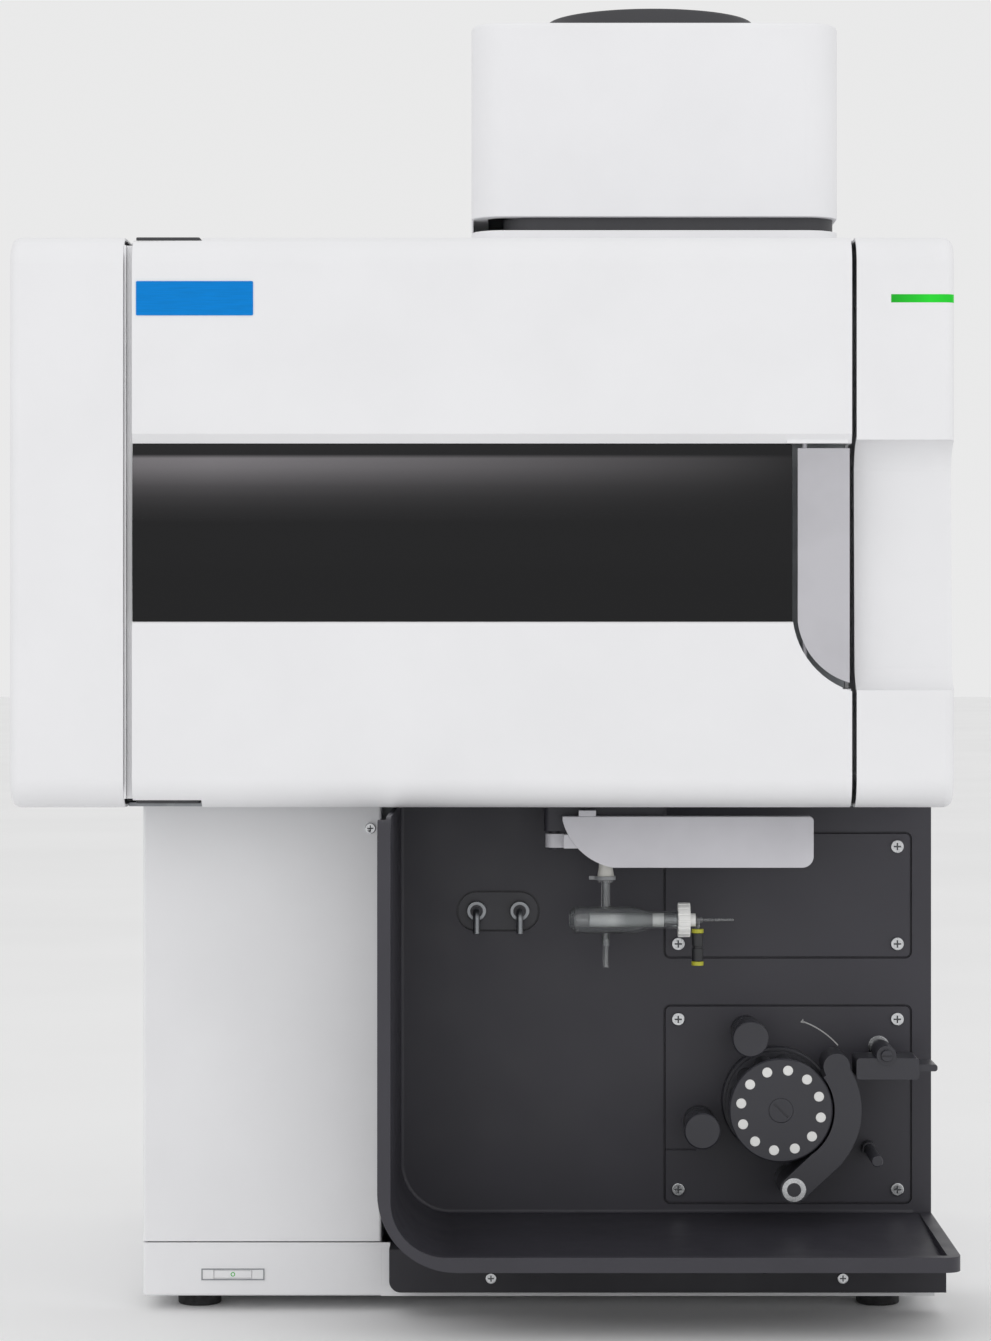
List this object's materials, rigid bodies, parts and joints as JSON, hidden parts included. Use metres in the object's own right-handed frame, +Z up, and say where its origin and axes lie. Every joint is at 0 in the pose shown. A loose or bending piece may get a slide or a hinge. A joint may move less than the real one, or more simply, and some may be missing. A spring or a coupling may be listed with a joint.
{
  "type": "inductively coupled plasma spectrometer",
  "caption": "Bench-top inductively coupled plasma spectrometer with a side-hinged front door, exhaust chimney, peristaltic pump and open sample introduction compartment.",
  "frame": {"origin": "centre of the instrument's footprint box, on the surface that its feet stand on", "axes": "+Z up, -Y towards the user at the door, +X to the user's right"},
  "size_m": [0.8, 0.74, 1.154],
  "materials": {
    "white_moulding": "fine satin, light texture",
    "white_paint": "textured powder coat, satin",
    "light_grey_paint": "satin paint",
    "smoked_window": "high gloss",
    "grip_grey": "satin",
    "badge_blue": "satin anodised",
    "status_green": "glowing light guide",
    "compartment_grey": "fine grain, satin",
    "tray_dark": "satin",
    "pump_black": "satin",
    "roller_white": "satin",
    "bright_steel": "polished",
    "zinc_steel": "zinc plated",
    "dark_steel": "dark satin",
    "cast_aluminium": "machined casting",
    "quartz": "clear",
    "copper": "drawn copper tube",
    "torch_polymer": "satin",
    "clip_blue": "satin",
    "connector_green": "satin",
    "motor_black": "satin",
    "board_green": "solder mask",
    "socket_black": "satin",
    "rubber_black": "matt",
    "fitting_brass": "turned"
  },
  "bodies": {
    "cabinet": {"left_side_cap": "white_moulding", "right_side_cap": "white_moulding", "status_light_bar": "status_green", "door_hinges": "dark_steel", "top_cover": "white_paint", "chimney_pedestal": "dark_steel", "chimney_cover": "white_paint", "exhaust_flue": "dark_steel", "upper_frame": "zinc_steel", "torch_compartment": "zinc_steel", "torch_base": "torch_polymer", "torch_tubes": "quartz", "induction_coil": "copper", "torch_clamp": "compartment_grey", "spray_chamber": "quartz", "nebuliser_nut": "roller_white", "nebuliser": "quartz", "gas_connector": "connector_green", "joint_clip": "clip_blue", "compartment_liner": "compartment_grey", "access_plate": "compartment_grey", "pump_plate": "compartment_grey", "gas_ports": "pump_black", "panel_screws": "bright_steel", "tray_box": "tray_dark", "pump_flange": "pump_black", "pump_motor": "motor_black", "pump_shafts": "zinc_steel", "bright_rings": "bright_steel", "pump_posts": "pump_black", "base_pan": "white_paint", "lower_front_panel": "white_paint", "lower_side_panels": "white_paint", "lower_frame": "zinc_steel", "feet": "rubber_black", "power_bezel": "grip_grey", "optics_housing": "cast_aluminium", "optics_cover": "cast_aluminium", "rf_generator": "zinc_steel", "power_supply": "zinc_steel", "control_board": "board_green", "gas_manifold": "cast_aluminium", "rear_covers": "white_paint", "fan_frame": "socket_black", "fan_grille": "bright_steel", "mains_inlet": "socket_black", "rear_fittings": "fitting_brass"},
    "door": {"door_shell": "white_moulding", "door_inner_panel": "zinc_steel", "door_window": "smoked_window", "badge_plate": "badge_blue"},
    "door_grip": {"door_grip": "grip_grey"},
    "torch_handle": {"torch_handle": "grip_grey"},
    "pump_rotor": {"pump_rotor": "pump_black", "pump_rollers": "roller_white"},
    "pressure_arm": {"pressure_arm": "pump_black"},
    "clamp_lever": {"clamp_lever": "pump_black"},
    "power_button": {"power_button": "grip_grey"},
    "mains_rocker": {"mains_rocker": "socket_black"},
    "fan_rotor": {"fan_rotor": "socket_black"}
  },
  "joints": [
    {"name": "door_hinge", "type": "hinge", "parent": "cabinet", "child": "door", "pos_m": [-0.256, -0.297, 0.6855], "axis": [0, 0, -1], "range_deg": [0, 120]},
    {"name": "door_grip_hinge", "type": "hinge", "parent": "door", "child": "door_grip", "pos_m": [0.2735, -0.309, 0.655], "axis": [0, 0, -1], "range_deg": [0, 14], "stiffness_Nm_per_rad": 0.4},
    {"name": "torch_handle_hinge", "type": "hinge", "parent": "cabinet", "child": "torch_handle", "pos_m": [0.062, -0.206, 0.42], "axis": [0, 0, -1], "range_deg": [0, 110]},
    {"name": "pump_rotor_spin", "type": "hinge", "parent": "cabinet", "child": "pump_rotor", "pos_m": [0.2605, -0.17, 0.1731], "axis": [0, 1, 0], "continuous": true},
    {"name": "clamp_lever_hinge", "type": "hinge", "parent": "cabinet", "child": "clamp_lever", "pos_m": [0.3529, -0.18, 0.2212], "axis": [0, -1, 0], "range_deg": [0, 90]},
    {"name": "pressure_arm_hinge", "type": "hinge", "parent": "cabinet", "child": "pressure_arm", "pos_m": [0.2719, -0.18, 0.1036], "axis": [0, 1, 0], "range_deg": [0, 11.25]},
    {"name": "power_button_press", "type": "slide", "parent": "cabinet", "child": "power_button", "axis": [0, 1, 0], "range_m": [0, 0.0015], "stiffness_N_per_m": 900},
    {"name": "mains_rocker_tilt", "type": "hinge", "parent": "cabinet", "child": "mains_rocker", "pos_m": [0.122, 0.351, 0.072], "axis": [1, 0, 0], "range_deg": [0, 18]},
    {"name": "fan_spin", "type": "hinge", "parent": "cabinet", "child": "fan_rotor", "pos_m": [0.24, 0.337, 0.3], "axis": [0, 1, 0], "continuous": true}
  ],
  "couplings": [
    {"joint": "pressure_arm_hinge", "follows": "clamp_lever_hinge", "ratio": 0.125}
  ]
}
